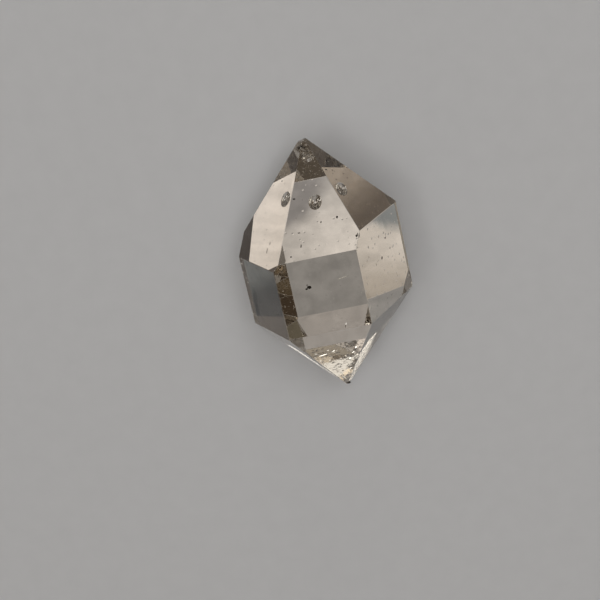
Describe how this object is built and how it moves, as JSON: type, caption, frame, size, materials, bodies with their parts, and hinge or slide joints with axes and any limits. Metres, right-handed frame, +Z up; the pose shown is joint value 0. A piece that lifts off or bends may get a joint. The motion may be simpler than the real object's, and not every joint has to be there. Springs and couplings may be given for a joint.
{
  "type": "double terminated quartz crystal",
  "caption": "Clear, faintly smoky quartz crystal with a faceted point at both ends of a short hexagonal prism, lying on one prism face; a loose mineral specimen.",
  "frame": {"origin": "on the surface that the crystal lies on, under the middle of its box", "axes": "+Z up out of the resting prism face, +Y along the crystal's long axis towards its larger point, +X across"},
  "size_m": [0.0118, 0.019, 0.0099],
  "materials": {
    "smoky_clear_quartz": "clear and see-through with a faint warm smoky tint, glassy natural growth faces with fine pits, a gas bubble and specks inside, and a frosted, cracked smaller point"
  },
  "bodies": {
    "root": {"quartz_crystal": "smoky_clear_quartz"}
  },
  "joints": []
}
